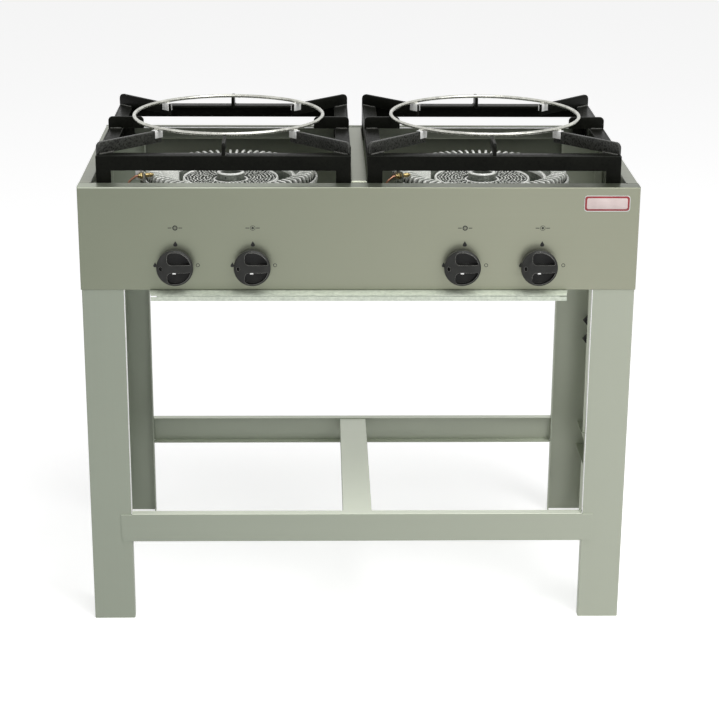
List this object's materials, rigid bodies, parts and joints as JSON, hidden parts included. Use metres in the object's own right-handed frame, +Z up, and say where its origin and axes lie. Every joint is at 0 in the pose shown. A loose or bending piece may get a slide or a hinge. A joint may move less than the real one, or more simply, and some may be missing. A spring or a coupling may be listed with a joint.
{
  "type": "industrial gas stove",
  "caption": "Free-standing industrial gas stove: open angle-leg stand, box apron with turn knobs, ring burners in bays, bar grates with wok rings, slide-out drip tray",
  "frame": {"origin": "on the floor, under the middle of the overall outline", "axes": "+X to the user's right, +Y to the back, +Z up"},
  "size_m": [0.9, 0.5214, 0.8281],
  "materials": {
    "body_paint": "satin",
    "leg_paint": "satin",
    "galvanised": "satin",
    "cast_burner": "matte",
    "grate_black": "semi-gloss",
    "ring_wire": "satin",
    "knob_plastic": "satin",
    "brass": "satin",
    "copper": "satin",
    "steel": "satin",
    "clip_black": "matte"
  },
  "bodies": {
    "stand": {"front_panel": "body_paint", "left_side_panel": "body_paint", "right_side_panel": "body_paint", "rear_panel": "body_paint", "centre_strip": "body_paint", "leg_front_left": "leg_paint", "leg_front_right": "leg_paint", "leg_rear_left": "leg_paint", "leg_rear_right": "leg_paint", "front_rail": "leg_paint", "rear_rail": "leg_paint", "left_side_rail": "leg_paint", "right_side_rail": "leg_paint", "centre_rail": "leg_paint", "burner_bar_front": "galvanised", "burner_bar_rear": "galvanised", "injector_rail": "galvanised", "tray_runner_left": "galvanised", "tray_runner_right": "galvanised", "gas_manifold": "galvanised", "inlet_nuts": "brass", "manifold_brackets": "galvanised", "feed_tubes": "copper", "injectors": "brass", "outer_burner_left": "cast_burner", "outer_burner_right": "cast_burner", "inner_burner_left": "cast_burner", "inner_burner_right": "cast_burner", "pilot_burners": "brass", "pilot_tubes": "copper", "pilot_brackets": "galvanised", "hose_clips": "clip_black", "valve_body_left_outer": "brass", "valve_body_left_inner": "brass", "valve_body_right_outer": "brass", "valve_body_right_inner": "brass"},
    "plug_left_outer": {"valve_plug_left_outer": "brass"},
    "knob_left_outer": {"knob_left_outer": "knob_plastic", "valve_stem_left_outer": "steel"},
    "shutter_left_outer": {"air_shutter_left_outer": "galvanised"},
    "plug_left_inner": {"valve_plug_left_inner": "brass"},
    "knob_left_inner": {"knob_left_inner": "knob_plastic", "valve_stem_left_inner": "steel"},
    "shutter_left_inner": {"air_shutter_left_inner": "galvanised"},
    "plug_right_outer": {"valve_plug_right_outer": "brass"},
    "knob_right_outer": {"knob_right_outer": "knob_plastic", "valve_stem_right_outer": "steel"},
    "shutter_right_outer": {"air_shutter_right_outer": "galvanised"},
    "plug_right_inner": {"valve_plug_right_inner": "brass"},
    "knob_right_inner": {"knob_right_inner": "knob_plastic", "valve_stem_right_inner": "steel"},
    "shutter_right_inner": {"air_shutter_right_inner": "galvanised"},
    "grate_left": {"grate_left": "grate_black"},
    "wok_ring_left": {"wok_ring_left": "ring_wire"},
    "grate_right": {"grate_right": "grate_black"},
    "wok_ring_right": {"wok_ring_right": "ring_wire"},
    "drip_tray": {"drip_tray": "galvanised"}
  },
  "joints": [
    {"name": "left_outer_turn", "type": "hinge", "parent": "stand", "child": "plug_left_outer", "pos_m": [-0.296, -0.2363, 0.629], "axis": [0, -1, 0], "range_deg": [0, 180]},
    {"name": "left_outer_push", "type": "slide", "parent": "plug_left_outer", "child": "knob_left_outer", "axis": [0, 1, 0], "range_m": [0, 0.003], "stiffness_N_per_m": 400, "springref_m": -0.004},
    {"name": "left_inner_turn", "type": "hinge", "parent": "stand", "child": "plug_left_inner", "pos_m": [-0.172, -0.2363, 0.629], "axis": [0, -1, 0], "range_deg": [0, 180]},
    {"name": "left_inner_push", "type": "slide", "parent": "plug_left_inner", "child": "knob_left_inner", "axis": [0, 1, 0], "range_m": [0, 0.003], "stiffness_N_per_m": 400, "springref_m": -0.004},
    {"name": "right_outer_turn", "type": "hinge", "parent": "stand", "child": "plug_right_outer", "pos_m": [0.166, -0.2363, 0.629], "axis": [0, -1, 0], "range_deg": [0, 180]},
    {"name": "right_outer_push", "type": "slide", "parent": "plug_right_outer", "child": "knob_right_outer", "axis": [0, 1, 0], "range_m": [0, 0.003], "stiffness_N_per_m": 400, "springref_m": -0.004},
    {"name": "right_inner_turn", "type": "hinge", "parent": "stand", "child": "plug_right_inner", "pos_m": [0.29, -0.2363, 0.629], "axis": [0, -1, 0], "range_deg": [0, 180]},
    {"name": "right_inner_push", "type": "slide", "parent": "plug_right_inner", "child": "knob_right_inner", "axis": [0, 1, 0], "range_m": [0, 0.003], "stiffness_N_per_m": 400, "springref_m": -0.004},
    {"name": "left_outer_air", "type": "hinge", "parent": "stand", "child": "shutter_left_outer", "pos_m": [-0.2785, -0.1333, 0.629], "axis": [0, 1, 0], "range_deg": [0, 180]},
    {"name": "left_inner_air", "type": "hinge", "parent": "stand", "child": "shutter_left_inner", "pos_m": [-0.1535, -0.1333, 0.629], "axis": [0, 1, 0], "range_deg": [0, 180]},
    {"name": "right_outer_air", "type": "hinge", "parent": "stand", "child": "shutter_right_outer", "pos_m": [0.1535, -0.1333, 0.629], "axis": [0, 1, 0], "range_deg": [0, 180]},
    {"name": "right_inner_air", "type": "hinge", "parent": "stand", "child": "shutter_right_inner", "pos_m": [0.2785, -0.1333, 0.629], "axis": [0, 1, 0], "range_deg": [0, 180]},
    {"name": "tray_slide", "type": "slide", "parent": "stand", "child": "drip_tray", "axis": [0, -1, 0], "range_m": [0, 0.36]},
    {"name": "grate_left_lift", "type": "slide", "parent": "stand", "child": "grate_left", "axis": [0, 0, 1], "range_m": [0, 0.1]},
    {"name": "wok_ring_left_lift", "type": "slide", "parent": "grate_left", "child": "wok_ring_left", "axis": [0, 0, 1], "range_m": [0, 0.05]},
    {"name": "grate_right_lift", "type": "slide", "parent": "stand", "child": "grate_right", "axis": [0, 0, 1], "range_m": [0, 0.1]},
    {"name": "wok_ring_right_lift", "type": "slide", "parent": "grate_right", "child": "wok_ring_right", "axis": [0, 0, 1], "range_m": [0, 0.05]}
  ]
}
